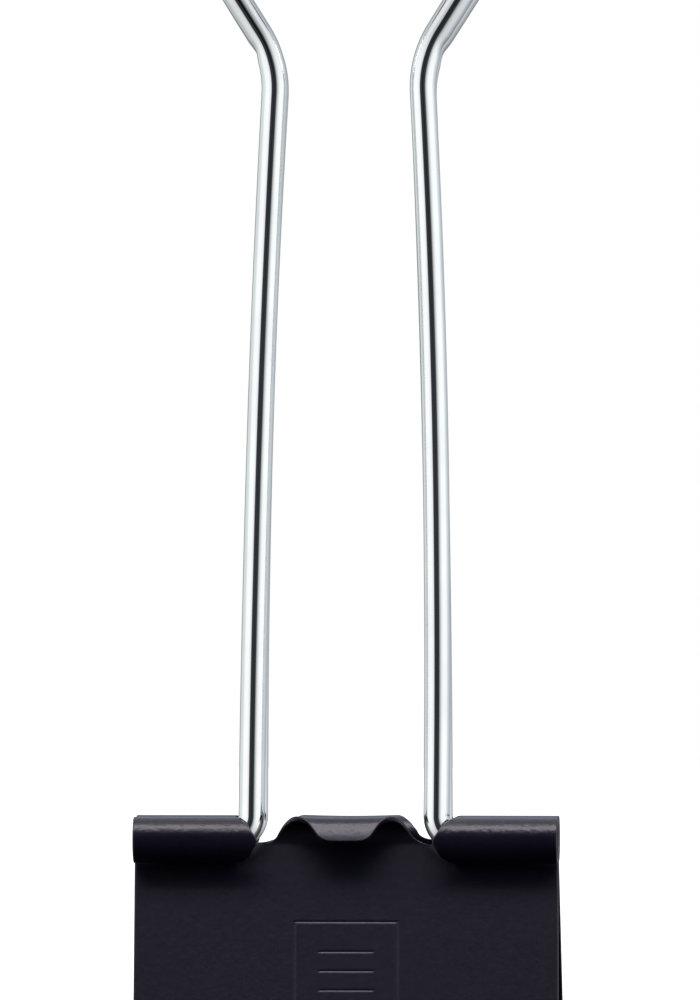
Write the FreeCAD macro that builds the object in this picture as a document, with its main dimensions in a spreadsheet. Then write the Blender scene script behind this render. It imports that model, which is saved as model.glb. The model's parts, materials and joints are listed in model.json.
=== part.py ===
"""Binder clip, 19 mm wide, with two long wire handles.

One strip of spring steel makes the body: a flat spine, two folds, and two panels that lean together.
Each panel's upper edge is rolled outwards into two tubes and, between them, a short tab.
A wire handle turns in each panel's tubes. The strip flexes at its folds, so it is made here as a
spine and two jaws that meet at the end of each fold.

Millimetres. +X along the clip's width, -Y out of the front panel, +Z from the spine to the handles.
The origin is the middle of the spine's flat underside.
"""

import FreeCAD
import Part
import Sketcher

import math
import os

DIMENSIONS = [
    ("clip_width", 19.0, "length of the spine and of both panels"),
    ("sheet_thickness", 0.25, "spring steel strip"),
    ("bend_inner_radius", 0.9, "inside of the two folds"),
    ("panel_lean", 20.0, "degrees from upright, jaws closed"),
    ("panel_length", 11.5, "straight part of a panel, fold to roll"),
    ("split_gap", 0.02, "between the end of a fold and its jaw"),
    ("tube_radius", 1.04, "outside of the rolled tubes and tabs"),
    ("tube_axis_offset", 1.07, "tube axis from the middle plane"),
    ("tube_curl_end", 290.0, "degrees, where the roll stops short of the panel"),
    ("tube_inner_end", 4.85, "tube's end from the middle of the clip"),
    ("notch_depth", 0.18, "bottom of the notch under the tube axis"),
    ("notch_corner_radius", 0.3, "notch corner beside the tube"),
    ("hump_root_half", 3.76, "notch corner centre beside the hump"),
    ("hump_root_radius", 0.5, "notch corner beside the hump"),
    ("hump_top_half", 2.37, "hump where it meets the top of the roll"),
    ("hump_flank_radius", 2.0, "rounded sides of the hump"),
    ("tab_curl_end", 182.0, "degrees, free edge of the rolled tab"),
    ("tab_half_width", 1.75, "free edge of the rolled tab"),
    ("tab_corner_radius", 0.7, "corners of the free edge"),
    ("wire_diameter", 1.18, "handle wire"),
    ("wire_end", 8.7, "end of the wire in its tube, from the middle"),
    ("wire_end_chamfer", 0.12, "broken edge of the cut wire"),
    ("elbow_radius", 1.1, "wire's bend beside the tube"),
    ("arm_half_spacing", 4.11, "handle arms at the tubes, from the middle"),
    ("arm_straight_height", 4.0, "arms are parallel up to here"),
    ("arm_bow_radius", 550.0, "slow curve of the arms towards the neck"),
    ("neck_height", 33.64, "narrowest place of the handle"),
    ("neck_bend_radius", 4.7, "wire's bend at the neck"),
    ("flare_angle", 32.0, "degrees from upright, above the neck"),
    ("loop_half_width", 6.4, "widest place of the loop, wire centre"),
    ("loop_corner_radius", 3.2, "upper corners of the loop"),
    ("loop_crown_radius", 49.0, "top bar of the loop"),
    ("handle_lean", 0.55, "degrees, handles lean to each other"),
]

# Formulas of the sheet's cells that more than one place needs.
HALF_WIDTH = "Dimensions.clip_width / 2"
FOLD_OUTER = "Dimensions.bend_inner_radius + Dimensions.sheet_thickness"
BORE_RADIUS = "Dimensions.tube_radius - Dimensions.sheet_thickness"
RADII = "(Dimensions.bend_inner_radius + Dimensions.tube_radius)"
TUBE_HEIGHT = (
    f"{FOLD_OUTER} + {RADII} * sin(Dimensions.panel_lean)"
    " + Dimensions.panel_length * cos(Dimensions.panel_lean)"
)
SPINE_HALF_FLAT = (
    "Dimensions.tube_axis_offset + Dimensions.panel_length * sin(Dimensions.panel_lean)"
    f" - {RADII} * cos(Dimensions.panel_lean)"
)
# Degrees. A roll is made in two parts that meet at its top.
ROLL_TOP_ANGLE = 90.0
START = 1
END = 2
CENTRE = 3
HORIZONTAL_AXIS = -1
VERTICAL_AXIS = -2

doc = FreeCAD.newDocument("binder_clip")


def fill_sheet():
    """Write the driving dimensions to the spreadsheet."""
    sheet = doc.addObject("Spreadsheet::Sheet", "Dimensions")
    for row, (alias, value, note) in enumerate(DIMENSIONS, start=1):
        sheet.set(f"A{row}", alias)
        sheet.set(f"B{row}", str(value))
        sheet.set(f"C{row}", note)
        sheet.setAlias(f"B{row}", alias)
    doc.recompute()
    return sheet


sheet = fill_sheet()


def number(formula):
    """Give the present value of a formula of the sheet's cells."""
    return float(sheet.evalExpression(formula))


def size(alias):
    """Give the value of one cell."""
    return number("Dimensions." + alias)


def origin_plane(body, role):
    """Find one of a body's own origin planes."""
    return next(feature for feature in body.Origin.OriginFeatures if feature.Role == role)


def add_body(name):
    """Start a sub-part whose label names its file."""
    body = doc.addObject("PartDesign::Body", name)
    body.Label = name
    return body


def add_sketch(body, name, role, offset=None):
    """Attach a sketch to an origin plane, moved along the plane's normal by a formula."""
    sketch = body.newObject("Sketcher::SketchObject", name)
    sketch.AttachmentSupport = [(origin_plane(body, role), "")]
    sketch.MapMode = "FlatFace"
    if offset:
        sketch.setExpression("AttachmentOffset.Base.z", offset)
    return sketch


def point(across, up):
    return FreeCAD.Vector(across, up, 0)


def line(sketch, start, end):
    return sketch.addGeometry(Part.LineSegment(point(*start), point(*end)), False)


def arc(sketch, centre, radius, start_degrees, end_degrees):
    circle = Part.Circle(point(*centre), FreeCAD.Vector(0, 0, 1), radius)
    angles = (math.radians(start_degrees), math.radians(end_degrees))
    return sketch.addGeometry(Part.ArcOfCircle(circle, *angles), False)


def polar(centre, radius, degrees):
    """Give the point of a circle at an angle."""
    angle = math.radians(degrees)
    return (centre[0] + radius * math.cos(angle), centre[1] + radius * math.sin(angle))


def hold(sketch, kind, *where):
    """Add a geometric constraint."""
    sketch.addConstraint(Sketcher.Constraint(kind, *where))


def drive(sketch, name, formula, kind, *where):
    """Add a dimension to a sketch and bind it to a formula of the sheet's cells."""
    value = number(formula)
    if kind == "Angle":
        value = math.radians(value)
    index = sketch.addConstraint(Sketcher.Constraint(kind, *where, value))
    sketch.renameConstraint(index, name)
    sketch.setExpression("Constraints." + name, formula)


def drive_roll_axis(sketch, roll):
    """Place the centre of a roll on the front panel's tube axis, in a section of the clip."""
    origin = (HORIZONTAL_AXIS, START)
    axis = (roll, CENTRE)
    drive(sketch, "axis_offset", "Dimensions.tube_axis_offset", "DistanceX", *axis, *origin)
    drive(sketch, "axis_height", TUBE_HEIGHT, "DistanceY", *origin, *axis)


def pad(body, name, sketch, length, symmetric=False):
    feature = body.newObject("PartDesign::Pad", name)
    feature.Profile = sketch
    feature.setExpression("Length", length)
    if symmetric:
        feature.SideType = "Symmetric"
    doc.recompute()
    return feature


def pocket(body, name, sketch, length, symmetric=False, reverse=False):
    """Cut a pocket, and make sure that it removed something."""
    before = body.Shape.Volume
    feature = body.newObject("PartDesign::Pocket", name)
    feature.Profile = sketch
    feature.setExpression("Length", length)
    feature.Reversed = reverse
    if symmetric:
        feature.SideType = "Symmetric"
    doc.recompute()
    if not body.Shape.Volume < before:
        raise RuntimeError(f"{name} cuts nothing from {body.Label}")
    return feature


def mirror(body, name, features):
    """Repeat features on the other side of the middle plane."""
    feature = body.newObject("PartDesign::Mirrored", name)
    feature.Originals = features
    feature.MirrorPlane = (origin_plane(body, "YZ_Plane"), [""])
    body.Tip = feature
    doc.recompute()
    return feature


def make_spine():
    """The flat of the strip and both folds, up to where the panels start to be straight."""
    half_flat = number(SPINE_HALF_FLAT)
    outer = number(FOLD_OUTER)
    inner = size("bend_inner_radius")
    lean = size("panel_lean")
    thickness = size("sheet_thickness")
    right = (half_flat, outer)
    left = (-half_flat, outer)

    body = add_body("spine")
    sketch = add_sketch(body, "spine_section", "YZ_Plane")
    underside = line(sketch, (-half_flat, 0), (half_flat, 0))
    right_outer = arc(sketch, right, outer, -90, lean)
    right_end = line(sketch, polar(right, inner, lean), polar(right, outer, lean))
    right_inner = arc(sketch, right, inner, -90, lean)
    top = line(sketch, (half_flat, thickness), (-half_flat, thickness))
    left_inner = arc(sketch, left, inner, 180 - lean, 270)
    left_end = line(sketch, polar(left, inner, 180 - lean), polar(left, outer, 180 - lean))
    left_outer = arc(sketch, left, outer, 180 - lean, 270)

    hold(sketch, "Tangent", underside, END, right_outer, START)
    hold(sketch, "Perpendicular", right_outer, END, right_end, END)
    hold(sketch, "Coincident", right_end, START, right_inner, END)
    hold(sketch, "Tangent", right_inner, START, top, START)
    hold(sketch, "Tangent", top, END, left_inner, END)
    hold(sketch, "Coincident", left_inner, START, left_end, START)
    hold(sketch, "Perpendicular", left_outer, START, left_end, END)
    hold(sketch, "Tangent", left_outer, END, underside, START)
    hold(sketch, "Coincident", right_outer, CENTRE, right_inner, CENTRE)
    hold(sketch, "Coincident", left_outer, CENTRE, left_inner, CENTRE)
    hold(sketch, "Symmetric", underside, START, underside, END, HORIZONTAL_AXIS, START)
    hold(sketch, "Horizontal", underside)
    hold(sketch, "Equal", right_outer, left_outer)
    hold(sketch, "Equal", right_inner, left_inner)
    drive(sketch, "half_flat", SPINE_HALF_FLAT, "DistanceX", HORIZONTAL_AXIS, START, underside, END)
    drive(sketch, "fold_outer", FOLD_OUTER, "Radius", right_outer)
    drive(sketch, "fold_inner", "Dimensions.bend_inner_radius", "Radius", right_inner)
    drive(sketch, "right_lean", "Dimensions.panel_lean", "Angle", right_end)
    drive(sketch, "left_lean", "180 - Dimensions.panel_lean", "Angle", left_end)
    pad(body, "spine_strip", sketch, "Dimensions.clip_width", symmetric=True)
    return body


def add_panel_section(body):
    """A panel's section from the fold to the top of its roll, with the wire's bore on its outer side."""
    lean = size("panel_lean")
    bore = number(BORE_RADIUS)
    roll = size("tube_radius")
    axis = (-size("tube_axis_offset"), number(TUBE_HEIGHT))
    length = size("panel_length") - size("split_gap")
    along = (-length * math.sin(math.radians(lean)), -length * math.cos(math.radians(lean)))
    outer_top = polar(axis, bore, -lean)
    inner_top = polar(axis, roll, -lean)
    outer_low = (outer_top[0] + along[0], outer_top[1] + along[1])
    inner_low = (inner_top[0] + along[0], inner_top[1] + along[1])

    sketch = add_sketch(body, "panel_section", "YZ_Plane")
    outer_face = line(sketch, outer_low, outer_top)
    bore_arc = arc(sketch, axis, bore, -lean, ROLL_TOP_ANGLE)
    roll_end = line(sketch, polar(axis, bore, ROLL_TOP_ANGLE), polar(axis, roll, ROLL_TOP_ANGLE))
    roll_arc = arc(sketch, axis, roll, -lean, ROLL_TOP_ANGLE)
    inner_face = line(sketch, inner_top, inner_low)
    low_end = line(sketch, inner_low, outer_low)

    hold(sketch, "Tangent", outer_face, END, bore_arc, START)
    hold(sketch, "Coincident", bore_arc, END, roll_end, START)
    hold(sketch, "Coincident", roll_end, END, roll_arc, END)
    hold(sketch, "Tangent", roll_arc, START, inner_face, START)
    hold(sketch, "Coincident", inner_face, END, low_end, START)
    hold(sketch, "Coincident", low_end, END, outer_face, START)
    hold(sketch, "Coincident", bore_arc, CENTRE, roll_arc, CENTRE)
    hold(sketch, "Perpendicular", low_end, outer_face)
    hold(sketch, "Perpendicular", low_end, inner_face)
    hold(sketch, "Vertical", bore_arc, CENTRE, bore_arc, END)
    hold(sketch, "Vertical", roll_arc, CENTRE, roll_arc, END)
    drive_roll_axis(sketch, bore_arc)
    drive(sketch, "bore_radius", BORE_RADIUS, "Radius", bore_arc)
    drive(sketch, "roll_radius", "Dimensions.tube_radius", "Radius", roll_arc)
    drive(sketch, "lean", "90 - Dimensions.panel_lean", "Angle", outer_face)
    drive(sketch, "length", "Dimensions.panel_length - Dimensions.split_gap", "Distance", outer_face)
    return sketch


def add_curl_section(body, name, curl_end, offset=None):
    """The part of a roll that goes on from its top, out to the front and down to its free edge."""
    bore = number(BORE_RADIUS)
    roll = size("tube_radius")
    axis = (-size("tube_axis_offset"), number(TUBE_HEIGHT))
    end = number(curl_end)

    sketch = add_sketch(body, name, "YZ_Plane", offset)
    bore_arc = arc(sketch, axis, bore, ROLL_TOP_ANGLE, end)
    free_edge = line(sketch, polar(axis, bore, end), polar(axis, roll, end))
    roll_arc = arc(sketch, axis, roll, ROLL_TOP_ANGLE, end)
    joined_edge = line(sketch, polar(axis, bore, ROLL_TOP_ANGLE), polar(axis, roll, ROLL_TOP_ANGLE))

    hold(sketch, "Perpendicular", bore_arc, END, free_edge, START)
    hold(sketch, "Coincident", free_edge, END, roll_arc, END)
    hold(sketch, "Coincident", roll_arc, START, joined_edge, END)
    hold(sketch, "Coincident", joined_edge, START, bore_arc, START)
    hold(sketch, "Coincident", bore_arc, CENTRE, roll_arc, CENTRE)
    hold(sketch, "Vertical", bore_arc, CENTRE, bore_arc, START)
    hold(sketch, "Vertical", joined_edge)
    drive_roll_axis(sketch, bore_arc)
    drive(sketch, "bore_radius", BORE_RADIUS, "Radius", bore_arc)
    drive(sketch, "roll_radius", "Dimensions.tube_radius", "Radius", roll_arc)
    drive(sketch, "curl_end", curl_end, "Angle", free_edge)
    return sketch


def add_notch_outline(body):
    """The opening beside the hump that lets the handle arm out of its tube."""
    height = number(TUBE_HEIGHT)
    top = height + size("tube_radius") + size("sheet_thickness")
    bottom = height - size("notch_depth")
    corner = size("notch_corner_radius")
    root = size("hump_root_radius")
    flank = size("hump_flank_radius")
    tube_end = size("tube_inner_end")
    root_centre = (size("hump_root_half"), bottom + root)
    hump_top = (size("hump_top_half"), height + size("tube_radius"))
    corner_centre = (tube_end - corner, bottom + corner)
    # The flank's circle is tangent to the root's circle from the other side and passes the hump's top.
    span_x = hump_top[0] - root_centre[0]
    span_z = hump_top[1] - root_centre[1]
    span = math.hypot(span_x, span_z)
    centres = root + flank
    cosine = (span**2 + centres**2 - flank**2) / (2 * span * centres)
    turn = math.degrees(math.atan2(span_z, span_x) + math.acos(cosine))
    flank_centre = polar(root_centre, centres, turn)
    top_angle = math.degrees(math.atan2(hump_top[1] - flank_centre[1], hump_top[0] - flank_centre[0]))

    sketch = add_sketch(body, "notch_outline", "XZ_Plane")
    tube_side = line(sketch, (tube_end, top), (tube_end, corner_centre[1]))
    corner_arc = arc(sketch, corner_centre, corner, -90, 0)
    floor = line(sketch, (corner_centre[0], bottom), (root_centre[0], bottom))
    root_arc = arc(sketch, root_centre, root, turn, 270)
    flank_arc = arc(sketch, flank_centre, flank, turn - 180, top_angle)
    rise = line(sketch, hump_top, (hump_top[0], top))
    lid = line(sketch, (hump_top[0], top), (tube_end, top))

    hold(sketch, "Tangent", tube_side, END, corner_arc, END)
    hold(sketch, "Tangent", corner_arc, START, floor, START)
    hold(sketch, "Tangent", floor, END, root_arc, END)
    hold(sketch, "Tangent", root_arc, START, flank_arc, START)
    hold(sketch, "Coincident", flank_arc, END, rise, START)
    hold(sketch, "Coincident", rise, END, lid, START)
    hold(sketch, "Coincident", lid, END, tube_side, START)
    hold(sketch, "Vertical", tube_side)
    hold(sketch, "Horizontal", floor)
    hold(sketch, "Vertical", rise)
    hold(sketch, "Horizontal", lid)
    axis = (HORIZONTAL_AXIS, START)
    drive(sketch, "tube_end", "Dimensions.tube_inner_end", "DistanceX", *axis, tube_side, END)
    floor_height = f"{TUBE_HEIGHT} - Dimensions.notch_depth"
    drive(sketch, "floor_height", floor_height, "DistanceY", *axis, floor, END)
    drive(sketch, "corner_radius", "Dimensions.notch_corner_radius", "Radius", corner_arc)
    drive(sketch, "root_radius", "Dimensions.hump_root_radius", "Radius", root_arc)
    drive(sketch, "root_half", "Dimensions.hump_root_half", "DistanceX", *axis, root_arc, CENTRE)
    drive(sketch, "flank_radius", "Dimensions.hump_flank_radius", "Radius", flank_arc)
    drive(sketch, "top_half", "Dimensions.hump_top_half", "DistanceX", *axis, flank_arc, END)
    top_height = f"{TUBE_HEIGHT} + Dimensions.tube_radius"
    drive(sketch, "top_height", top_height, "DistanceY", *axis, flank_arc, END)
    lid_height = f"{top_height} + Dimensions.sheet_thickness"
    drive(sketch, "lid_height", lid_height, "DistanceY", *axis, lid, START)
    return sketch


def add_tab_corner_outline(body):
    """What is trimmed from one side of the rolled tab, seen from the front."""
    height = number(TUBE_HEIGHT)
    half = size("tab_half_width")
    corner = size("tab_corner_radius")
    low = height - size("tube_radius")
    high = height + size("tube_radius")
    wide = size("hump_top_half") + size("sheet_thickness")
    edge = height + size("tube_radius") * math.sin(math.radians(size("tab_curl_end")))
    centre = (half - corner, edge + corner)

    sketch = add_sketch(body, "tab_corner_outline", "XZ_Plane", "Dimensions.tube_axis_offset")
    side = line(sketch, (half, high), (half, centre[1]))
    corner_arc = arc(sketch, centre, corner, -90, 0)
    drop = line(sketch, (centre[0], edge), (centre[0], low))
    under = line(sketch, (centre[0], low), (wide, low))
    outside = line(sketch, (wide, low), (wide, high))
    over = line(sketch, (wide, high), (half, high))

    hold(sketch, "Tangent", side, END, corner_arc, END)
    hold(sketch, "Coincident", corner_arc, START, drop, START)
    hold(sketch, "Coincident", drop, END, under, START)
    hold(sketch, "Coincident", under, END, outside, START)
    hold(sketch, "Coincident", outside, END, over, START)
    hold(sketch, "Coincident", over, END, side, START)
    hold(sketch, "Vertical", side)
    hold(sketch, "Vertical", corner_arc, CENTRE, corner_arc, START)
    hold(sketch, "Vertical", drop)
    hold(sketch, "Horizontal", under)
    hold(sketch, "Vertical", outside)
    hold(sketch, "Horizontal", over)
    axis = (HORIZONTAL_AXIS, START)
    edge_height = f"{TUBE_HEIGHT} + Dimensions.tube_radius * sin(Dimensions.tab_curl_end)"
    outside_half = "Dimensions.hump_top_half + Dimensions.sheet_thickness"
    drive(sketch, "half_width", "Dimensions.tab_half_width", "DistanceX", *axis, side, END)
    drive(sketch, "corner_radius", "Dimensions.tab_corner_radius", "Radius", corner_arc)
    drive(sketch, "edge_height", edge_height, "DistanceY", *axis, corner_arc, START)
    under_height = f"{TUBE_HEIGHT} - Dimensions.tube_radius"
    over_height = f"{TUBE_HEIGHT} + Dimensions.tube_radius"
    drive(sketch, "under_height", under_height, "DistanceY", *axis, under, END)
    drive(sketch, "over_height", over_height, "DistanceY", *axis, over, END)
    drive(sketch, "outside_half", outside_half, "DistanceX", *axis, outside, END)
    return sketch


def make_jaw(name, half_turn):
    """One panel with its two tubes and the rolled tab, made on the front side and turned to the back."""
    body = add_body(name)
    pad(body, "panel", add_panel_section(body), "Dimensions.clip_width", symmetric=True)
    notch = pocket(body, "notch", add_notch_outline(body), "Dimensions.clip_width", symmetric=True)
    tab_section = add_curl_section(body, "tab_section", "Dimensions.tab_curl_end")
    pad(body, "rolled_tab", tab_section, "2 * Dimensions.hump_top_half", symmetric=True)
    tab_outline = add_tab_corner_outline(body)
    trim = pocket(body, "tab_corner", tab_outline, "2 * Dimensions.tube_radius", reverse=True)
    tube_section = add_curl_section(
        body, "tube_section", "Dimensions.tube_curl_end", "Dimensions.tube_inner_end"
    )
    tube = pad(body, "tube", tube_section, f"{HALF_WIDTH} - Dimensions.tube_inner_end")
    mirror(body, "other_side", [notch, trim, tube])
    if half_turn:
        upright = FreeCAD.Vector(0, 0, 1)
        body.Placement = FreeCAD.Placement(FreeCAD.Vector(), FreeCAD.Rotation(upright, 180))
    return body


def add_handle_path(body):
    """Half of the wire's centreline, from its end in the tube to the middle of the loop.

    It is drawn from the tube axis, so across is from the middle of the clip and up is from the axis.
    """
    wire_end = size("wire_end")
    elbow = size("elbow_radius")
    arm = size("arm_half_spacing")
    straight = size("arm_straight_height")
    bow = size("arm_bow_radius")
    bend = size("neck_bend_radius")
    flare = size("flare_angle")
    corner = size("loop_corner_radius")
    crown = size("loop_crown_radius")
    elbow_centre = (arm + elbow, elbow)
    bow_centre = (arm - bow, straight)
    # The neck's circle touches the bow from outside the handle.
    neck_z = size("neck_height")
    neck_x = bow_centre[0] + math.sqrt((bow + bend) ** 2 - (neck_z - straight) ** 2)
    neck_centre = (neck_x, neck_z)
    bow_end = math.degrees(math.asin((neck_z - straight) / (bow + bend)))
    flare_start = polar(neck_centre, bend, 180 - flare)
    # The flare runs on until it touches the loop's corner circle.
    corner_x = size("loop_half_width") - corner
    flare_end_x = corner_x + corner * math.cos(math.radians(flare))
    flare_end_z = flare_start[1] + (flare_end_x - flare_start[0]) / math.tan(math.radians(flare))
    corner_centre = (corner_x, flare_end_z + corner * math.sin(math.radians(flare)))
    # The crown's circle holds the corner's circle and is centred over the middle of the clip.
    crown_drop = math.sqrt((crown - corner) ** 2 - corner_x**2)
    crown_centre = (0, corner_centre[1] - crown_drop)
    crown_start = math.degrees(math.atan2(crown_drop, corner_x))

    sketch = add_sketch(body, "handle_path", "XZ_Plane")
    in_tube = line(sketch, (wire_end, 0), (elbow_centre[0], 0))
    elbow_arc = arc(sketch, elbow_centre, elbow, 180, 270)
    arm_line = line(sketch, (arm, elbow), (arm, straight))
    bow_arc = arc(sketch, bow_centre, bow, 0, bow_end)
    neck_arc = arc(sketch, neck_centre, bend, 180 - flare, 180 + bow_end)
    flare_line = line(sketch, flare_start, (flare_end_x, flare_end_z))
    corner_arc = arc(sketch, corner_centre, corner, -flare, crown_start)
    crown_arc = arc(sketch, crown_centre, crown, crown_start, 90)

    hold(sketch, "Tangent", in_tube, END, elbow_arc, END)
    hold(sketch, "Tangent", elbow_arc, START, arm_line, START)
    hold(sketch, "Tangent", arm_line, END, bow_arc, START)
    hold(sketch, "Tangent", bow_arc, END, neck_arc, END)
    hold(sketch, "Tangent", neck_arc, START, flare_line, START)
    hold(sketch, "Tangent", flare_line, END, corner_arc, START)
    hold(sketch, "Tangent", corner_arc, END, crown_arc, START)
    hold(sketch, "Horizontal", in_tube)
    hold(sketch, "PointOnObject", in_tube, START, HORIZONTAL_AXIS)
    hold(sketch, "Vertical", arm_line)
    hold(sketch, "PointOnObject", crown_arc, END, VERTICAL_AXIS)
    hold(sketch, "PointOnObject", crown_arc, CENTRE, VERTICAL_AXIS)
    axis = (HORIZONTAL_AXIS, START)
    flare_slope = "90 - Dimensions.flare_angle"
    corner_across = "Dimensions.loop_half_width - Dimensions.loop_corner_radius"
    drive(sketch, "wire_end", "Dimensions.wire_end", "DistanceX", *axis, in_tube, START)
    drive(sketch, "elbow_radius", "Dimensions.elbow_radius", "Radius", elbow_arc)
    drive(sketch, "arm_across", "Dimensions.arm_half_spacing", "DistanceX", *axis, arm_line, END)
    drive(sketch, "arm_up", "Dimensions.arm_straight_height", "DistanceY", *axis, arm_line, END)
    drive(sketch, "bow_radius", "Dimensions.arm_bow_radius", "Radius", bow_arc)
    drive(sketch, "neck_up", "Dimensions.neck_height", "DistanceY", *axis, neck_arc, CENTRE)
    drive(sketch, "neck_radius", "Dimensions.neck_bend_radius", "Radius", neck_arc)
    drive(sketch, "flare_slope", flare_slope, "Angle", flare_line)
    drive(sketch, "corner_radius", "Dimensions.loop_corner_radius", "Radius", corner_arc)
    drive(sketch, "corner_across", corner_across, "DistanceX", *axis, corner_arc, CENTRE)
    drive(sketch, "crown_radius", "Dimensions.loop_crown_radius", "Radius", crown_arc)
    return sketch


def outermost_face(shape):
    """Name the face that is furthest from the middle of the clip: the cut end of the wire."""
    distances = [face.CenterOfMass.x for face in shape.Faces]
    return f"Face{distances.index(max(distances)) + 1}"


def make_handle(name, side):
    """A wire handle. Side is -1 at the front and 1 at the back."""
    body = add_body(name)
    section = add_sketch(body, "wire_section", "YZ_Plane", "Dimensions.wire_end")
    circle = Part.Circle(point(0, 0), FreeCAD.Vector(0, 0, 1), size("wire_diameter") / 2)
    wire = section.addGeometry(circle, False)
    hold(section, "Coincident", wire, CENTRE, HORIZONTAL_AXIS, START)
    drive(section, "wire_radius", "Dimensions.wire_diameter / 2", "Radius", wire)
    path = add_handle_path(body)
    doc.recompute()
    half = body.newObject("PartDesign::AdditivePipe", "half_wire")
    half.Profile = section
    half.Spine = path
    doc.recompute()
    end_chamfer = body.newObject("PartDesign::Chamfer", "wire_end_chamfer")
    end_chamfer.Base = (half, [outermost_face(half.Shape)])
    end_chamfer.setExpression("Size", "Dimensions.wire_end_chamfer")
    doc.recompute()
    mirror(body, "other_half", [half, end_chamfer])
    # The handle stands on its tubes' axis and leans to the middle plane.
    tilt_axis = FreeCAD.Vector(side, 0, 0)
    body.Placement = FreeCAD.Placement(FreeCAD.Vector(), FreeCAD.Rotation(tilt_axis, 1))
    body.setExpression("Placement.Base.y", f"{side} * Dimensions.tube_axis_offset")
    body.setExpression("Placement.Base.z", TUBE_HEIGHT)
    body.setExpression("Placement.Rotation.Angle", "Dimensions.handle_lean")
    doc.recompute()
    return body


def check(bodies):
    """Stop if any object failed, or if a sub-part isn't one valid solid."""
    for item in doc.Objects:
        if "Invalid" in item.State or "Error" in item.State:
            raise RuntimeError(f"{item.Label} is {item.State}")
    for body in bodies:
        shape = body.Shape
        if shape.isNull() or not shape.isValid() or len(shape.Solids) != 1:
            raise RuntimeError(f"{body.Label} isn't one valid solid")


def export(bodies):
    """Write each sub-part to a file that its label names."""
    os.makedirs("parts", exist_ok=True)
    for body in bodies:
        body.Shape.exportStep(f"parts/{body.Label}.step")
        box = body.Shape.BoundBox
        print(f"{body.Label}: {body.Shape.Volume:.2f} mm3, z {box.ZMin:.3f} to {box.ZMax:.3f}")


bodies = [
    make_spine(),
    make_jaw("front_jaw", half_turn=False),
    make_jaw("rear_jaw", half_turn=True),
    make_handle("front_handle", -1),
    make_handle("rear_handle", 1),
]
doc.recompute()
check(bodies)
export(bodies)
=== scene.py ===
"""The looks of a binder clip: black enamelled spring steel with two bright wire handles.

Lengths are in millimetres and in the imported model's frame. Only meshes, lights and the camera are in metres.
A point of a sheet is given by its place across the clip, its distance along the bent strip and its depth in
the sheet. The rear jaw is the front jaw's sheet, turned by half a turn about the vertical.
"""

import json
import math

import bpy
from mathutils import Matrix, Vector


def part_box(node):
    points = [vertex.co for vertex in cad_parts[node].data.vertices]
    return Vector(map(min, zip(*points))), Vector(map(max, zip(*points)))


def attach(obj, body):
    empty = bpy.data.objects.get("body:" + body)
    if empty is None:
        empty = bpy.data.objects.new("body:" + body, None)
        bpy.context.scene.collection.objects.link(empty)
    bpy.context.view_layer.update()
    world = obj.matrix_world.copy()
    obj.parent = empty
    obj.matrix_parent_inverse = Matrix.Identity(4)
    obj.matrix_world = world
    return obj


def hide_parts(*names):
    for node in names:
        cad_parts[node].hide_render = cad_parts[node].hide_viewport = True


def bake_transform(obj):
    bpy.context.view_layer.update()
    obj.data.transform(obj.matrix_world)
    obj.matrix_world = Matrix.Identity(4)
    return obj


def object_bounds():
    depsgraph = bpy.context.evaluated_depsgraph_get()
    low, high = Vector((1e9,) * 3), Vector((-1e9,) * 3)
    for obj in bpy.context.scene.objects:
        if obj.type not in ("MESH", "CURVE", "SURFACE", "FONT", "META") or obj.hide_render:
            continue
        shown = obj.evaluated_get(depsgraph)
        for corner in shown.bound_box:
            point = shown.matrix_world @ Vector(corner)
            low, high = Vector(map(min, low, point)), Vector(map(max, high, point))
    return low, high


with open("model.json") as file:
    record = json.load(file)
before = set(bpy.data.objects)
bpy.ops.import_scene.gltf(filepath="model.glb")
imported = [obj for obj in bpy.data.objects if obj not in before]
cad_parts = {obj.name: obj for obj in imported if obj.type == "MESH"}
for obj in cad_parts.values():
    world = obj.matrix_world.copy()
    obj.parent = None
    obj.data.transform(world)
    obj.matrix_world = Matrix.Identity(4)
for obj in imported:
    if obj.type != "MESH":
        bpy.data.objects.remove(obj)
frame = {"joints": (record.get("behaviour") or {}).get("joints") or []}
cad_low, cad_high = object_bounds()

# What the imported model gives.
METRE = 1000.0
JOINTS = {joint["name"]: joint for joint in frame["joints"]}
TUBE_AXIS = Vector(JOINTS["front_handle_swing"]["pos_m"]) * METRE
FOLD_END = Vector(JOINTS["front_jaw_flex"]["pos_m"]) * METRE
HALF_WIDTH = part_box("spine")[1].x * METRE
ROLL_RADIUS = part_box("front_jaw")[1].z * METRE - TUBE_AXIS.z
WIRE_RADIUS = TUBE_AXIS.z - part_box("front_handle")[0].z * METRE
WIRE_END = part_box("front_handle")[1].x * METRE

# The sheet.
SHEET = 0.25
EDGE_RADIUS = 0.05
EDGE_STEPS = 3
# A line this far inside a rounded edge keeps the flat beside it evenly shaded.
SUPPORT_GAP = 2.5 * EDGE_RADIUS
# Faces that turn by more degrees than this meet in a sharp edge.
SHARP_FROM = 40
BORE_RADIUS = ROLL_RADIUS - SHEET
ROLL_MIDDLE = ROLL_RADIUS - SHEET / 2

# A panel's outer face runs from the end of its fold to where it touches the bore of its roll.
REACH = (TUBE_AXIS - FOLD_END).yz
PANEL_LENGTH = math.sqrt(REACH.length_squared - BORE_RADIUS**2)
LEAN = math.atan2(REACH.x, REACH.y) + math.atan2(BORE_RADIUS, PANEL_LENGTH)
FOLD_OUTER = FOLD_END.z / (1 + math.sin(LEAN))
FOLD_MIDDLE = FOLD_OUTER - SHEET / 2
HALF_FLAT = -FOLD_END.y - FOLD_OUTER * math.cos(LEAN)
SEAM = HALF_FLAT - 0.3

# Degrees round a roll: 0 is its top, 90 its front. It starts on the inner side, below the notch's floor.
ROLL_START = -90 - math.degrees(LEAN)
NOTCH_FLOOR = -100
TUBE_CURL_END = 200
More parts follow.
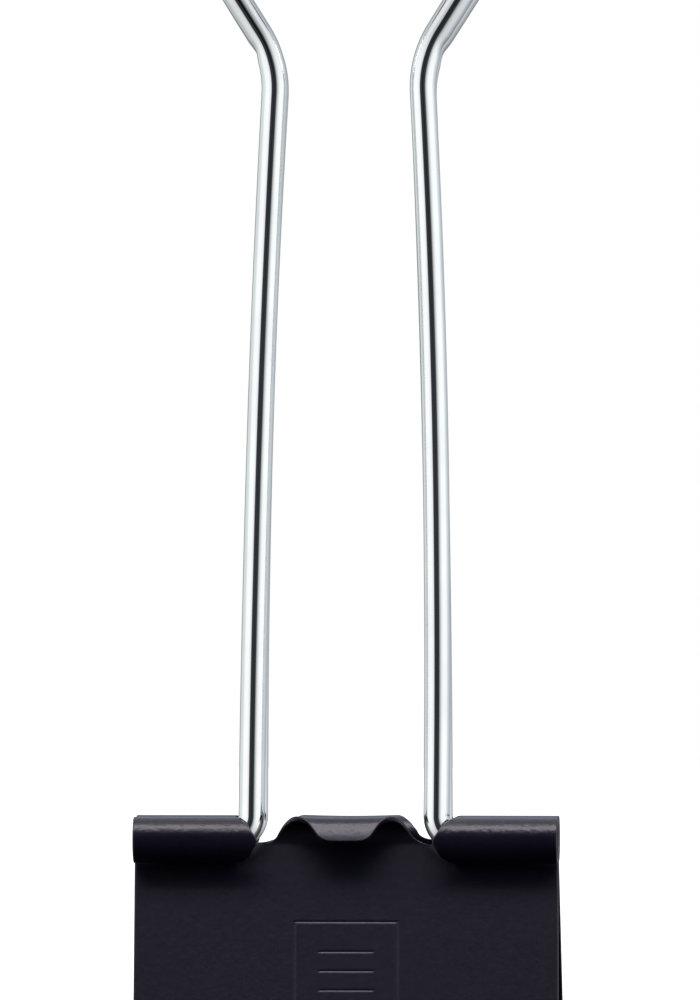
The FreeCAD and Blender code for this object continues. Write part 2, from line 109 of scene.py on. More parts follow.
# The tab is rolled more tightly than the tubes over its top, and its tail is nearly flat.
TAB_TIGHT_FROM = -10
TAB_TIGHT_TURN = 60
TAB_TIGHT_RADIUS = 0.65
TAB_TAIL = 0.95
TAB_TAIL_TURN = 18

# Half the width of the hump and the tab, at distances along the strip from the notch's floor.
HUMP_OUTLINE = [
    (0.00, 3.87), (0.03, 3.66), (0.10, 3.44), (0.20, 3.25), (0.32, 3.10), (0.54, 2.93),
    (0.78, 2.77), (1.09, 2.52), (1.46, 2.23), (1.78, 1.89), (2.07, 1.61), (2.40, 1.38),
    (2.64, 1.21), (2.78, 1.05), (2.88, 0.84), (2.95, 0.60),
]
# The strip isn't cut quite square to its folds: it drifts to the right by so much for each mm below a roll.
STRIP_SKEW = 0.013
# The press doesn't cut both humps at quite the same place. The shift starts above the floor.
FRONT_HUMP_SHIFT = -0.09
REAR_HUMP_SHIFT = 0.20
HUMP_SHIFT_FROM = 0.5
# How much lower the notch's floor is on the sheet's left and right, and how far along the sheet that shows.
# One side's value goes over into the other's round the middle. The floor ends beside the tubes.
FRONT_FLOOR_DROPS = (0.10, 0.10, 1.2)
REAR_FLOOR_DROPS = (-0.16, 0.0, 0.7)
FLOOR_MIDDLE = 2.0
FLOOR_END = 4.6
FLOOR_END_FADE = 0.5
# The first rows above the notch's floor are close together, to round its corners.
FLOOR_ROWS = [0.03, 0.08, 0.15, 0.23]
FLOOR_ROWS_END = 0.31
# The tab's middle is pressed a little lower than the ears on both its sides.
TAB_SAG = 0.05
EAR_LIFT = 0.04
TAB_SAG_HALF = 2.3
TAB_BOW = 0.05
# Where a tube begins, across the clip, at degrees round its roll. The lobe at its front is what a handle
# snaps over when it is turned. The rear jaw's lobes stand back a little, and no tube begins beyond its lip.
TUBE_OUTLINE = [
    (NOTCH_FLOOR, 4.55), (-96, 4.75), (-88, 4.90), (-75, 5.00), (-60, 5.03), (-24, 5.03),
    (-14, 4.99), (0, 4.91), (10, 4.83), (15, 4.77), (23, 4.67), (33, 4.51),
    (45, 4.36), (55, 4.25), (65, 4.15), (75, 4.04), (84, 3.95), (91, 3.91),
    (98, 3.93), (107, 4.02), (117, 4.12), (127, 4.20), (137, 4.30), (150, 4.52),
    (165, 4.80), (TUBE_CURL_END, 4.85),
]
TUBE_LIP = 5.03
REAR_LOBE_BACK = 0.11

# The stamped mark: a square frame round three bars, all of them fine grooves in the front panel.
MARK_DROP = 6.2
MARK_HALF = 2.3
MARK_GROOVE = 0.12
MARK_DEPTH = 0.015
MARK_BARS = [-0.9, 0.0, 0.9]
MARK_BAR_HALF = 1.2
# No other grid line comes this near to a line of the mark.
MARK_CLEAR = 0.06

# The wire's centreline, from the tube axis up.
ELBOW_RADIUS = 1.1
ARM_HALF_SPACING = 4.11
ARM_STRAIGHT_HEIGHT = 4.0
ARM_BOW_RADIUS = 550.0
NECK_HEIGHT = 33.64
NECK_RADIUS = 4.7
FLARE = math.radians(32)
LOOP_HALF_WIDTH = 6.4
LOOP_CORNER_RADIUS = 3.2
LOOP_CROWN_RADIUS = 49.0
HANDLE_LEAN = math.radians(0.35)
# A pinch on the inner side of the neck's bend, and the arms' small spread just above their tubes.
PINCH_TURN = math.radians(24)
PINCH_DEPTH = 0.09
PINCH_REACH = 0.45
ARM_SPREAD = 0.04
ARM_SPREAD_HEIGHT = 12.0
# Each handle stands at the side of its tubes' bores that is near the clip's middle, away from the lobes.
BORE_PLAY = 0.18
WIRE_SIDES = 64
WIRE_CHAMFER = 0.12
# The furthest apart that a wire's rings are, on straights in millimetres and on bends in degrees.
STRAIGHT_STEP = 1.5
BEND_STEP = 1.5


def spread(first, last, step):
    """Evenly spaced values from first to last, no further apart than step."""
    count = max(1, math.ceil(abs(last - first) / step))
    return [first + (last - first) * i / count for i in range(count + 1)]


def clamped(share):
    return max(0.0, min(1.0, share))


def read_outline(outline, place):
    """Read a smooth line through an outline's points. Its slopes never overshoot between them."""
    if place <= outline[0][0]:
        return outline[0][1]
    for i in range(len(outline) - 1):
        if place <= outline[i + 1][0]:
            break
    else:
        return outline[-1][1]

    def secant(k):
        return (outline[k + 1][1] - outline[k][1]) / (outline[k + 1][0] - outline[k][0])

    def slope(k):
        if k == 0 or k == len(outline) - 1:
            return secant(min(k, len(outline) - 2))
        before, after = secant(k - 1), secant(k)
        if before * after <= 0:
            return 0.0
        return 2 * before * after / (before + after)

    (low, first), (high, last) = outline[i], outline[i + 1]
    gap = high - low
    u = (place - low) / gap
    return (
        first * (1 + 2 * u) * (1 - u) ** 2
        + last * u * u * (3 - 2 * u)
        + gap * slope(i) * u * (1 - u) ** 2
        - gap * slope(i + 1) * u * u * (1 - u)
    )


def walk(start, heading, pieces, distance):
    """Go a distance along straight and round pieces, each a length and a turn. Give place and heading."""
    place = Vector(start)
    for length, turn in pieces:
        part = min(distance, length)
        if turn:
            radius = length / turn
            swept = turn * part / length
            centre = place + radius * Vector((-math.sin(heading), math.cos(heading)))
            heading += swept
            place = centre - radius * Vector((-math.sin(heading), math.cos(heading)))
        else:
            place = place + part * Vector((math.cos(heading), math.sin(heading)))
        distance -= part
        if distance <= 0:
            break
    return place, heading


def piece_lengths(pieces):
    return [length for length, turn in pieces]


# The bent strip's middle line, from the seam in the spine: flat, fold, panel, and then a roll.
QUARTER = math.pi / 2
STRIP = [
    (HALF_FLAT - SEAM, 0),
    (FOLD_MIDDLE * (QUARTER + LEAN), -(QUARTER + LEAN)),
    (PANEL_LENGTH, 0),
]
ROLL_AT = sum(piece_lengths(STRIP))
ROLL_PER_DEGREE = ROLL_MIDDLE * math.radians(1)
TUBE_STRIP = STRIP + [
    (ROLL_PER_DEGREE * (TUBE_CURL_END - ROLL_START), math.radians(TUBE_CURL_END - ROLL_START)),
]
TAB_STRIP = STRIP + [
    (ROLL_PER_DEGREE * (TAB_TIGHT_FROM - ROLL_START), math.radians(TAB_TIGHT_FROM - ROLL_START)),
    (TAB_TIGHT_RADIUS * math.radians(TAB_TIGHT_TURN), math.radians(TAB_TIGHT_TURN)),
    (TAB_TAIL, math.radians(TAB_TAIL_TURN)),
]
STRIP_START = (-SEAM, SHEET / 2)
STRIP_HEADING = math.pi


def along_roll(degrees):
    """The distance along the strip to a place round the roll."""
    return ROLL_AT + ROLL_PER_DEGREE * (degrees - ROLL_START)


def skewed(along):
    """How far the strip has drifted to the clip's right, at a distance along it. Its rolls haven't."""
    return STRIP_SKEW * max(0.0, ROLL_AT - along)


def bend(across, along, depth, strip):
    """Put a point of the flat sheet in its place on the bent front half of the clip."""
    place, heading = walk(STRIP_START, STRIP_HEADING, strip, along)
    outward = Vector((-math.sin(heading), math.cos(heading)))
    place += depth * outward
    return Vector((across, place.x, place.y))


def make_object(name, points, faces):
    """Make a smooth mesh object from points in millimetres."""
    mesh = bpy.data.meshes.new(name)
    mesh.from_pydata([point / METRE for point in points], [], faces)
    mesh.validate()
    mesh.shade_smooth()
    mesh.set_sharp_from_angle(angle=math.radians(SHARP_FROM))
    thing = bpy.data.objects.new(name, mesh)
    bpy.context.scene.collection.objects.link(thing)
    return thing


class FlatSheet:
    """A cut sheet before it is bent: points (across, along), quads, and the strip that each point is on."""

    def __init__(self):
        self.points = []
        self.strips = []
        self.quads = []

    def add_row(self, across, along, strip):
        first = len(self.points)
        self.points += [Vector((x, along)) for x in across]
        self.strips += [strip] * len(across)
        return list(range(first, first + len(across)))

    def join_rows(self, rows):
        for low, high in zip(rows, rows[1:]):
            for i in range(len(low) - 1):
                self.quads.append((low[i], low[i + 1], high[i + 1], high[i]))

    def rim(self):
        """The quads' edges that have only one quad, the sheet being on their left."""
        edges = set()
        for quad in self.quads:
            for i in range(4):
                edges.add((quad[i - 1], quad[i]))
        return [(a, b) for a, b in sorted(edges) if (b, a) not in edges]


def outward_of(a, b):
    """The direction out of the sheet at one of its rim's edges."""
    run = (b - a).normalized()
    return Vector((run.y, -run.x))


def thicken(flat, seams, bend_point, rise=None):
    """Give a flat sheet its thickness and its rounded edges, and bend it.

    Seams are the rows of points where the sheet goes on in another piece, the sheet being on the left of
    each. They are cut flat.
    """
    rim = flat.rim()
    seam_edges = {edge for row in seams for edge in zip(row, row[1:])}
    cut = [edge for edge in rim if edge not in seam_edges]
    ways = {}
    for a, b in cut:
        way = outward_of(flat.points[a], flat.points[b])
        ways.setdefault(a, []).append(way)
        ways.setdefault(b, []).append(way)
    # A corner's own direction reaches as far as both of its edges do.
    mitres = {}
    for k, both in ways.items():
        total = sum(both, Vector((0, 0)))
        mitres[k] = total * len(both) / max(total.length_squared, 1.0)

    points, ring_of = [], {}

    def add(k, place, depth):
        points.append(bend_point(place.x, place.y, depth, flat.strips[k]))
        return len(points) - 1

    for side in (1, -1):
        for k, place in enumerate(flat.points):
            inner = place - EDGE_RADIUS * mitres[k] if k in mitres else place
            height = rise(inner.x, inner.y) if rise and side > 0 else 0.0
            ring_of[(side, 0, k)] = add(k, inner, side * (SHEET / 2) + height)
        for k, mitre in mitres.items():
            inner = flat.points[k] - EDGE_RADIUS * mitre
            for step in range(1, EDGE_STEPS + 1):
                angle = QUARTER * step / EDGE_STEPS
                place = inner + EDGE_RADIUS * math.sin(angle) * mitre
                depth = SHEET / 2 - EDGE_RADIUS * (1 - math.cos(angle))
                ring_of[(side, step, k)] = add(k, place, side * depth)

    faces = []
    for quad in flat.quads:
        faces.append([ring_of[(1, 0, k)] for k in quad])
        faces.append([ring_of[(-1, 0, k)] for k in reversed(quad)])
    outer_rings = [(1, step) for step in range(EDGE_STEPS + 1)]
    inner_rings = [(-1, step) for step in range(EDGE_STEPS, -1, -1)]
    rings = outer_rings + inner_rings
    for a, b in cut:
        for near, far in zip(rings, rings[1:]):
            faces.append([ring_of[(*near, b)], ring_of[(*near, a)], ring_of[(*far, a)], ring_of[(*far, b)]])
    for row in seams:
        faces.append(close_seam(row, rings, ring_of))
    return points, faces


def close_seam(row, rings, ring_of):
    """One flat face over the cut end of the sheet."""
    face = [ring_of[(1, 0, k)] for k in reversed(row)]
    face += [ring_of[(*ring, row[0])] for ring in rings[1:-1]]
    face += [ring_of[(-1, 0, k)] for k in row]
    face += [ring_of[(*ring, row[-1])] for ring in reversed(rings[1:-1])]
    return face


def mark_rise(across, along):
    """How far the stamped mark stands out of the panel. It is a groove, so this is never above zero."""
    along -= along_roll(-90) - MARK_DROP
    frame_off = abs(max(abs(across), abs(along)) - MARK_HALF)
    bar_off = min(max(abs(across) - MARK_BAR_HALF, abs(along - bar)) for bar in MARK_BARS)
    off = min(frame_off, max(bar_off, 0.0))
    return -MARK_DEPTH * max(0.0, 1 - off / (MARK_GROOVE / 2))


def mark_lines(grooves):
    """Grid lines along the bottom and the sides of each groove, and just beside it."""
    half = MARK_GROOVE / 2
    return [groove + share * half for groove in grooves for share in (-2, -1, -0.5, 0, 0.5, 1, 2)]


def mirrored(values):
    """Values above zero, with the same below zero."""
    return sorted(set([-v for v in values] + list(values)))


def add_support(values, ends):
    """Add a line just inside each end, so that the rounded edge doesn't shade the flat beside it."""
    first, last = ends
    gap = math.copysign(SUPPORT_GAP, last - first)
    inside = [v for v in values if min(abs(v - first), abs(v - last)) > 1.5 * SUPPORT_GAP]
    return [first, first + gap] + inside + [last - gap, last]


def shares(values):
    """Values as shares of the way from the first to the last."""
    return [(v - values[0]) / (values[-1] - values[0]) for v in values]


def jaw_sheet(with_mark, lobe_back):
    """One jaw's sheet, flat: the strip up to the notch's floor, and above it two tubes and a tab."""
    floor = along_roll(NOTCH_FLOOR)
    tube_at = TUBE_OUTLINE[0][1] + lobe_back
    hump_at = HUMP_OUTLINE[0][1]
    mark_centre = along_roll(-90) - MARK_DROP

    hump_lines = mirrored(spread(0, hump_at, 0.4))
    bar_ends = [MARK_BAR_HALF + share * MARK_GROOVE for share in (-0.5, 0, 0.5, 1)]
    if with_mark:
        marked = mirrored(mark_lines([MARK_HALF]) + bar_ends)
        hump_lines = [x for x in hump_lines if all(abs(x - m) > MARK_CLEAR for m in marked)]
        hump_lines = sorted(hump_lines + marked)
    hump_lines = add_support(hump_lines, (-hump_at, hump_at))
    tube_lines = add_support(spread(HALF_WIDTH, tube_at, 0.5), (HALF_WIDTH, tube_at))
    tube_shares = shares(tube_lines)
    hump_shares = shares(hump_lines)
    floor_lines = spread(tube_at, hump_at, 0.15)[1:-1]
    left = [-x for x in tube_lines]
    right = [x for x in reversed(tube_lines)]
    across = left + [-x for x in floor_lines] + hump_lines + floor_lines[::-1] + right

    fold_from = HALF_FLAT - SEAM
    fold_to = fold_from + FOLD_MIDDLE * (QUARTER + LEAN)
    rows = [0.0, fold_from / 2] + spread(fold_from, fold_to, 0.1)
    panel = spread(fold_to, ROLL_AT, 0.5)[1:]
    if with_mark:
        marked = mark_lines([mark_centre + side * MARK_HALF for side in (-1, 1)])
        marked += mark_lines([mark_centre + bar for bar in MARK_BARS])
        panel = [s for s in panel if all(abs(s - m) > MARK_CLEAR for m in marked)]
        panel = sorted(panel + marked)
    rows += panel + spread(ROLL_AT, floor, 0.06)[1:]

    flat = FlatSheet()
    main_rows = [flat.add_row(across, s, "tube") for s in rows]
    flat.join_rows(main_rows)
    last = main_rows[-1]
    tube_count = len(tube_lines)

    near_floor = [floor + rise for rise in FLOOR_ROWS]
    tube_rows = near_floor + spread(floor + FLOOR_ROWS_END, along_roll(TUBE_CURL_END), 0.075)
    tube_rows.append(tube_rows[-1] - SUPPORT_GAP)
    tube_rows.sort()
    left_rows, right_rows = [last[:tube_count]], [last[-tube_count:]]
    for s in tube_rows:
        degrees = ROLL_START + (s - ROLL_AT) / ROLL_PER_DEGREE
        inner = min(TUBE_LIP, read_outline(TUBE_OUTLINE, degrees) + lobe_back)
        xs = [HALF_WIDTH + share * (inner - HALF_WIDTH) for share in tube_shares]
        left_rows.append(flat.add_row([-x for x in xs], s, "tube"))
        right_rows.append(flat.add_row(xs[::-1], s, "tube"))
    flat.join_rows(left_rows)
    flat.join_rows(right_rows)

    tab_end = HUMP_OUTLINE[-1][0]
    hump_first = tube_count + len(floor_lines)
    hump_rows = [last[hump_first:hump_first + len(hump_lines)]]
    for rise in FLOOR_ROWS + spread(FLOOR_ROWS_END, tab_end, 0.06):
        half = read_outline(HUMP_OUTLINE, rise)
        xs = [half * (2 * share - 1) for share in hump_shares]
        hump_rows.append(flat.add_row(xs, floor + rise, "tab"))
    flat.join_rows(hump_rows)
    return flat, main_rows[0]


def make_jaw(name, half_turn, with_mark, hump_shift, floor_drops, lobe_back):
    """The visible sheet of one jaw, with the fold that joins it to the spine."""
    strips = {"tube": TUBE_STRIP, "tab": TAB_STRIP}
    side = -1 if half_turn else 1
    floor = along_roll(NOTCH_FLOOR)
    left_drop, right_drop, reach = floor_drops

    def bend_point(across, along, depth, strip):
        if strip == "tab":
            rise = along - floor
            share = rise / HUMP_OUTLINE[-1][0]
            middle = max(0.0, 1 - (across / TAB_SAG_HALF) ** 2)
            depth += (TAB_SAG * middle - EAR_LIFT) * min(1.0, rise)
            along += TAB_BOW * middle * share**4
            across += hump_shift * min(1.0, rise / HUMP_SHIFT_FROM) * (1 - share**2)
        across += side * skewed(along)
        drop = left_drop + (right_drop - left_drop) * clamped((across + FLOOR_MIDDLE) / (2 * FLOOR_MIDDLE))
        near = clamped(1 - abs(along - floor) / reach) * clamped((FLOOR_END - abs(across)) / FLOOR_END_FADE)
        along -= drop * near
        point = bend(across, along, depth, strips[strip])
        return Vector((side * point.x, side * point.y, point.z))

    flat, seam = jaw_sheet(with_mark, lobe_back)
    points, faces = thicken(flat, [seam], bend_point, mark_rise if with_mark else None)
    return make_object(name, points, faces)


def make_spine():
    """The flat of the strip between the two seams."""
    flat = FlatSheet()
    across = add_support(spread(-HALF_WIDTH, HALF_WIDTH, 1.0), (-HALF_WIDTH, HALF_WIDTH))
    length = 2 * SEAM
    rows = [flat.add_row(across, s, "flat") for s in spread(0, length, 0.6)]
    flat.join_rows(rows)

    def bend_point(across, along, depth, strip):
        return Vector((across + skewed(0), SEAM - along, SHEET / 2 - depth))

    points, faces = thicken(flat, [rows[0], rows[-1][::-1]], bend_point)
    return make_object("spine_plate", points, faces)


def wire_pieces():
    """Half of the wire's centreline, from its cut end to the middle of the loop, as lengths and turns."""
    bow_x = ARM_HALF_SPACING - ARM_BOW_RADIUS
    rise = NECK_HEIGHT - ARM_STRAIGHT_HEIGHT
    together = ARM_BOW_RADIUS + NECK_RADIUS
    bow_turn = math.asin(rise / together)
    neck_x = bow_x + math.sqrt(together**2 - rise**2)
    flare_x = neck_x - NECK_RADIUS * math.cos(FLARE)
    corner_x = LOOP_HALF_WIDTH - LOOP_CORNER_RADIUS
    flare_run = corner_x + LOOP_CORNER_RADIUS * math.cos(FLARE) - flare_x
    crown_turn = math.asin(corner_x / (LOOP_CROWN_RADIUS - LOOP_CORNER_RADIUS))
    corner_turn = QUARTER + FLARE - crown_turn
    return [
        (WIRE_END - ARM_HALF_SPACING - ELBOW_RADIUS, 0),
        (ELBOW_RADIUS * QUARTER, -QUARTER),
        (ARM_STRAIGHT_HEIGHT - ELBOW_RADIUS, 0),
        (ARM_BOW_RADIUS * bow_turn, bow_turn),
        (NECK_RADIUS * (bow_turn + FLARE), -(bow_turn + FLARE)),
        (flare_run / math.sin(FLARE), 0),
        (LOOP_CORNER_RADIUS * corner_turn, corner_turn),
        (LOOP_CROWN_RADIUS * crown_turn, crown_turn),
    ]


def wire_stations(pieces):
    """Distances along the wire that follow its bends closely and its straights loosely."""
    stations, at = [0.0], 0.0
    for length, turn in pieces:
        step = min(STRAIGHT_STEP, length / max(1, abs(math.degrees(turn)) / BEND_STEP))
        stations += [at + s for s in spread(0, length, step)[1:]]
        at += length
    return stations


def make_handle(name, side, slide, lean, sway, short, skew):
    """A wire handle. Side is -1 at the front and 1 at the back.

    It has some play in its tubes, so it slides a little to the right. Its arms aren't quite upright: they
    lean to the right, by so much for each mm, and sway back to the left by so much at the neck. They are
    short by so much, and the skew makes the left one shorter and the right one longer.
    """
    pieces = wire_pieces()
    bow_turn = pieces[3][1]
    pinch_at = sum(piece_lengths(pieces[:4])) + NECK_RADIUS * (bow_turn + PINCH_TURN)
    pinch_place = walk((WIRE_END, 0), math.pi, pieces, pinch_at)[0]
    half = []
    for s in wire_stations(pieces):
        place, heading = walk((WIRE_END, 0), math.pi, pieces, s)
        half.append((place, Vector((-math.sin(heading), math.cos(heading))), WIRE_RADIUS))
    # The cut end has a small chamfer.
    start, normal, radius = half[0]
    inset = Vector((WIRE_END - WIRE_CHAMFER, 0))
    half[0] = (start, normal, radius - WIRE_CHAMFER)
    half.insert(1, (inset, normal, radius))
    other = [(Vector((-p.x, p.y)), Vector((-n.x, n.y)), r) for p, n, r in reversed(half[:-1])]

    points, faces = [], []
    for place, normal, radius in half + other:
        for k in range(WIRE_SIDES):
            angle = 2 * math.pi * k / WIRE_SIDES
            reach = radius * math.cos(angle)
            if reach < 0:
                gap = (Vector((abs(place.x), place.y)) - pinch_place).length
                reach += PINCH_DEPTH * math.exp(-((gap / PINCH_REACH) ** 2)) * math.cos(angle) ** 2
            flat = place + reach * normal
            up = max(flat.y, 0.0)
            spread_out = math.copysign(ARM_SPREAD * max(0.0, 1 - up / ARM_SPREAD_HEIGHT), place.x)
            sideways = slide + lean * up - sway * (up / NECK_HEIGHT) ** 2 + spread_out
            higher = skew * place.x / ARM_HALF_SPACING - short
            flat += Vector((sideways, higher * min(1.0, up / NECK_HEIGHT)))
            out = radius * math.sin(angle)
            y = out * math.cos(HANDLE_LEAN) - side * flat.y * math.sin(HANDLE_LEAN)
            z = flat.y * math.cos(HANDLE_LEAN) + side * out * math.sin(HANDLE_LEAN)
            points.append(Vector((flat.x, y - side * (TUBE_AXIS.y + BORE_PLAY), z + TUBE_AXIS.z)))
    rings = len(half) + len(other)
    for ring in range(rings - 1):
        for k in range(WIRE_SIDES):
            a = ring * WIRE_SIDES + k
            b = ring * WIRE_SIDES + (k + 1) % WIRE_SIDES
            faces.append([a, b, b + WIRE_SIDES, a + WIRE_SIDES])
    faces.append(list(range(WIRE_SIDES))[::-1])
    faces.append([(rings - 1) * WIRE_SIDES + k for k in range(WIRE_SIDES)])
    return make_object(name, points, faces)


def add_node(tree, kind, **values):
    node = tree.nodes.new(kind)
    for name, value in values.items():
        setattr(node, name, value)
    return node


def new_material(name):
    material = bpy.data.materials.new(name)
    material.use_nodes = True
    tree = material.node_tree
    shader = tree.nodes["Principled BSDF"]
    return material, tree, shader


def noise(tree, size_mm, detail=2.0, roughness=0.5):
    """Noise in the object's own space, with features of about a size."""
    place = add_node(tree, "ShaderNodeTexCoord")
    texture = add_node(tree, "ShaderNodeTexNoise")
    texture.inputs["Scale"].default_value = METRE / size_mm
    texture.inputs["Detail"].default_value = detail
    texture.inputs["Roughness"].default_value = roughness
    tree.links.new(place.outputs["Object"], texture.inputs["Vector"])
    return texture.outputs["Fac"]


def ramp(tree, value, stops):
    """Map a value to colours or greys at given positions."""
    node = add_node(tree, "ShaderNodeValToRGB")
    elements = node.color_ramp.elements
    while len(elements) < len(stops):
        elements.new(0.5)
    for element, (position, colour) in zip(elements, stops):
        element.position = position
        element.color = (*colour, 1.0) if len(colour) == 3 else colour
    tree.links.new(value, node.inputs["Fac"])
    return node.outputs["Color"]


def bump(tree, height, distance_mm, strength):
    node = add_node(tree, "ShaderNodeBump")
    node.inputs["Distance"].default_value = distance_mm / METRE
    tree.links.new(strength, node.inputs["Strength"])
    tree.links.new(height, node.inputs["Height"])
    return node.outputs["Normal"]


def grey(value):
    return (value, value, value)


def enamel():
    """Black stoving enamel on steel. Its slight orange peel is coarser on top of the rolls."""
    material, tree, shader = new_material("black_enamel")
    body = ramp(
        tree,
        noise(tree, 3.0, 4.0),
        [(0.3, (0.0016, 0.0009, 0.0076)), (0.7, (0.0024, 0.0017, 0.0096))],
    )
    tree.links.new(body, shader.inputs["Base Color"])
    gloss = ramp(tree, noise(tree, 0.35, 3.0), [(0.3, grey(0.295)), (0.7, grey(0.315))])
    tree.links.new(gloss, shader.inputs["Roughness"])
    place = add_node(tree, "ShaderNodeTexCoord")
    split = add_node(tree, "ShaderNodeSeparateXYZ")
    tree.links.new(place.outputs["Object"], split.inputs["Vector"])
    coarse = add_node(tree, "ShaderNodeMapRange")
    coarse.inputs["From Min"].default_value = (TUBE_AXIS.z + 0.2) / METRE
    coarse.inputs["From Max"].default_value = (TUBE_AXIS.z + 0.5) / METRE
    coarse.inputs["To Min"].default_value = 0.2
    tree.links.new(split.outputs["Z"], coarse.inputs["Value"])
    peel = bump(tree, noise(tree, 0.22, 2.0), 0.022, coarse.outputs["Result"])
    tree.links.new(peel, shader.inputs["Normal"])
    return material


def bright_wire():
    """Nickel-plated steel wire, drawn smooth."""
    material, tree, shader = new_material("bright_wire")
    tint = ramp(tree, noise(tree, 2.5, 3.0), [(0.3, (0.80, 0.81, 0.82)), (0.7, (0.86, 0.87, 0.87))])
    tree.links.new(tint, shader.inputs["Base Color"])
    shader.inputs["Metallic"].default_value = 1.0
    gloss = ramp(tree, noise(tree, 0.6, 4.0), [(0.3, grey(0.04)), (0.7, grey(0.085))])
    tree.links.new(gloss, shader.inputs["Roughness"])
    return material


def direction(azimuth, elevation):
    """A direction seen from the clip. Azimuth 0 is to the front and 90 to the right, in degrees."""
    a, e = math.radians(azimuth), math.radians(elevation)
    return Vector((math.sin(a) * math.cos(e), -math.cos(a) * math.cos(e), math.sin(e)))


def aim(thing, place, target):
    thing.location = place
    thing.rotation_euler = (target - place).to_track_quat("-Z", "Y").to_euler()


def add_softbox(name, azimuth, elevation, distance, width, height, power, target):
    """A rectangular light that shows in reflections and not to the camera."""
    light = bpy.data.lights.new(name, "AREA")
    light.shape = "RECTANGLE"
    light.size = width
    light.size_y = height
    light.energy = power
    thing = bpy.data.objects.new(name, light)
    bpy.context.scene.collection.objects.link(thing)
    aim(thing, target + distance * direction(azimuth, elevation), target)
    thing.visible_camera = False
    return thing


def math_node(tree, operation, first, second=None):
    node = add_node(tree, "ShaderNodeMath", operation=operation)
    for socket, value in zip(node.inputs, (first, second)):
        if isinstance(value, (int, float)):
            socket.default_value = value
        elif value is not None:
            tree.links.new(value, socket)
    return node.outputs[0]


def degrees_to_share(degrees):
    """The place on a ramp of an angle from the front: -180 and 180 are both at the back."""
    return (degrees + 180) / 360


def make_world():
    """A white surround for the camera, and a light tent in the reflections.

    A direction of the tent has an angle from the front, and its share of rise is how far it is from the
    level. The tent is bright on both sides, dark at the front, where the camera is, and dark below.
    """
    world = bpy.data.worlds.new("studio")
    world.use_nodes = True
    tree = world.node_tree
    tree.nodes.clear()
    place = add_node(tree, "ShaderNodeTexCoord")
    split = add_node(tree, "ShaderNodeSeparateXYZ")
    tree.links.new(place.outputs["Generated"], split.inputs["Vector"])
    x, y, z = split.outputs["X"], split.outputs["Y"], split.outputs["Z"]
    front = math_node(tree, "MULTIPLY", y, -1.0)
    angle = math_node(tree, "ARCCOSINE", front)
    turn_share = math_node(tree, "DIVIDE", angle, 2 * math.pi)
    side_way = math_node(tree, "MULTIPLY", math_node(tree, "SIGN", x), turn_share)
    rise_way = math_node(tree, "MULTIPLY", math_node(tree, "SIGN", z), turn_share)
    level = math_node(tree, "MULTIPLY", x, x)
    upright = math_node(tree, "MULTIPLY", z, z)
    whole = math_node(tree, "ADD", level, math_node(tree, "ADD", upright, 1e-6))
    rise = math_node(tree, "DIVIDE", upright, whole)
    side_stops = [
        (-180, (0.24, 0.26, 0.27)), (-148, (0.30, 0.33, 0.34)), (-128, (0.74, 0.80, 0.80)),
        (-95, (0.82, 0.87, 0.87)), (-80, (1.12, 1.15, 1.16)), (-50, (1.16, 1.17, 1.18)),
        (-38, (1.04, 1.05, 1.08)), (-28, (0.90, 0.92, 0.95)), (-22, (0.036, 0.040, 0.045)),
        (17, (0.036, 0.040, 0.045)), (27, (0.55, 0.58, 0.60)), (38, (0.88, 0.91, 0.92)),
        (50, (1.12, 1.15, 1.15)), (85, (1.16, 1.18, 1.20)), (105, (0.82, 0.87, 0.90)),
        (125, (0.60, 0.65, 0.70)), (150, (0.45, 0.50, 0.53)), (180, (0.24, 0.26, 0.27)),
    ]
    rise_stops = [
        (-180, grey(0.24)), (-150, grey(0.02)), (40, grey(0.0)), (50, (0.14, 0.14, 0.17)),
        (60, (2.45, 2.38, 3.0)), (80, (1.35, 1.32, 1.42)), (104, (0.9, 0.9, 0.88)),
        (122, (0.95, 1.0, 1.15)), (150, (0.85, 0.92, 1.1)), (180, grey(0.24)),
    ]
    sides = ramp(
        tree,
        math_node(tree, "ADD", side_way, 0.5),
        [(degrees_to_share(d), colour) for d, colour in side_stops],
    )
    rises = ramp(
        tree,
        math_node(tree, "ADD", rise_way, 0.5),
        [(degrees_to_share(d), colour) for d, colour in rise_stops],
    )
    tent = add_node(tree, "ShaderNodeMix", data_type="RGBA")
    tree.links.new(math_node(tree, "MULTIPLY", rise, rise), tent.inputs["Factor"])
    tree.links.new(dim(tree, sides, math_node(tree, "SUBTRACT", 1.0, rise)), tent.inputs["A"])
    tree.links.new(rises, tent.inputs["B"])
    reflected = add_node(tree, "ShaderNodeBackground")
    tree.links.new(tent.outputs["Result"], reflected.inputs["Color"])
    seen = add_node(tree, "ShaderNodeBackground")
    seen.inputs["Color"].default_value = (1.0, 1.0, 1.0, 1.0)
    seen.inputs["Strength"].default_value = 1.0
    ray = add_node(tree, "ShaderNodeLightPath")
    choose = add_node(tree, "ShaderNodeMixShader")
    tree.links.new(ray.outputs["Is Camera Ray"], choose.inputs["Fac"])
    tree.links.new(reflected.outputs["Background"], choose.inputs[1])
    tree.links.new(seen.outputs["Background"], choose.inputs[2])
    out = add_node(tree, "ShaderNodeOutputWorld")
    tree.links.new(choose.outputs["Shader"], out.inputs["Surface"])
    bpy.context.scene.world = world


def dim(tree, colour, share):
    """A colour times a share."""
    node = add_node(tree, "ShaderNodeVectorMath", operation="SCALE")
    tree.links.new(colour, node.inputs[0])
    tree.links.new(share, node.inputs["Scale"])
    return node.outputs[0]


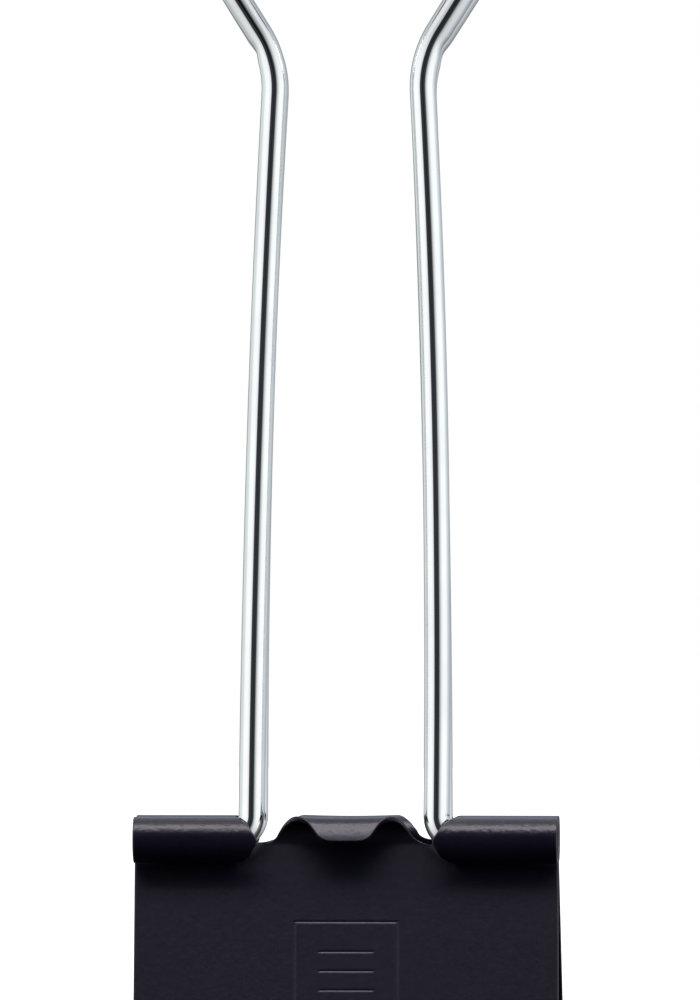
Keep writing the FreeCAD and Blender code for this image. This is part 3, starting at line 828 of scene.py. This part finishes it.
def make_floor():
    """A plain pale floor, too evenly lit to darken the picture.

    The handles fold down far past the spine, and the floor is just below their reach.
    """
    reach = 1.5
    gap = 0.003
    level = 2 * TUBE_AXIS.z / METRE - cad_high.z - gap
    mesh = bpy.data.meshes.new("floor")
    corners = [
        (-reach, -reach, level), (reach, -reach, level), (reach, reach, level), (-reach, reach, level),
    ]
    mesh.from_pydata(corners, [], [(0, 1, 2, 3)])
    floor = bpy.data.objects.new("floor", mesh)
    bpy.context.scene.collection.objects.link(floor)
    material, tree, shader = new_material("floor_white")
    shader.inputs["Base Color"].default_value = (0.9, 0.9, 0.9, 1.0)
    shader.inputs["Roughness"].default_value = 0.9
    shader.inputs["Emission Color"].default_value = (1.0, 1.0, 1.0, 1.0)
    shader.inputs["Emission Strength"].default_value = 0.55
    mesh.materials.append(material)
    floor.visible_diffuse = False
    floor.visible_glossy = False
    return floor


def make_camera():
    """A long lens a little to the right of the front, as high as the middle of the picture."""
    distance = 0.6
    azimuth = 2.85
    elevation = 0.8
    picture_height = 0.04474
    target = Vector((0.0002, TUBE_AXIS.y / METRE, TUBE_AXIS.z / METRE + 0.01523))
    data = bpy.data.cameras.new("camera")
    data.sensor_fit = "VERTICAL"
    data.sensor_height = 36.0
    data.lens = data.sensor_height * distance / picture_height
    data.clip_end = 20.0
    camera = bpy.data.objects.new("camera", data)
    bpy.context.scene.collection.objects.link(camera)
    aim(camera, target + distance * direction(azimuth, elevation), target)
    bpy.context.scene.camera = camera


def make_lights():
    target = Vector((0, 0, TUBE_AXIS.z / METRE + 0.01))
    overhead = add_softbox(
        "overhead", azimuth=0, elevation=69, distance=1.0, width=2.2, height=0.40, power=12.0, target=target
    )
    overhead.data.color = (1.0, 0.95, 0.97)


make_camera()
make_world()
make_lights()
make_floor()

black = enamel()
chrome = bright_wire()

spine_plate = make_spine()
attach(spine_plate, "spine")
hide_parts("spine")

front_sheet = make_jaw("front_jaw_sheet", False, True, FRONT_HUMP_SHIFT, FRONT_FLOOR_DROPS, 0.0)
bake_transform(front_sheet)
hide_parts("front_jaw")
rear_sheet = make_jaw("rear_jaw_sheet", True, False, -REAR_HUMP_SHIFT, REAR_FLOOR_DROPS, REAR_LOBE_BACK)
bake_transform(rear_sheet)
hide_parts("rear_jaw")

front_wire = make_handle(
    "front_handle_wire", -1, slide=-0.09, lean=0.0124, sway=0.2, short=-0.04, skew=0.04
)
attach(front_wire, "front_handle")
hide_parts("front_handle")
rear_wire = make_handle(
    "rear_handle_wire", 1, slide=-0.004, lean=-0.003, sway=-0.2, short=0.16, skew=-0.02
)
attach(rear_wire, "rear_handle")
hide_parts("rear_handle")

for piece in (spine_plate, front_sheet, rear_sheet):
    piece.data.materials.append(black)
for piece in (front_wire, rear_wire):
    piece.data.materials.append(chrome)

bpy.context.scene.view_settings.view_transform = "Standard"
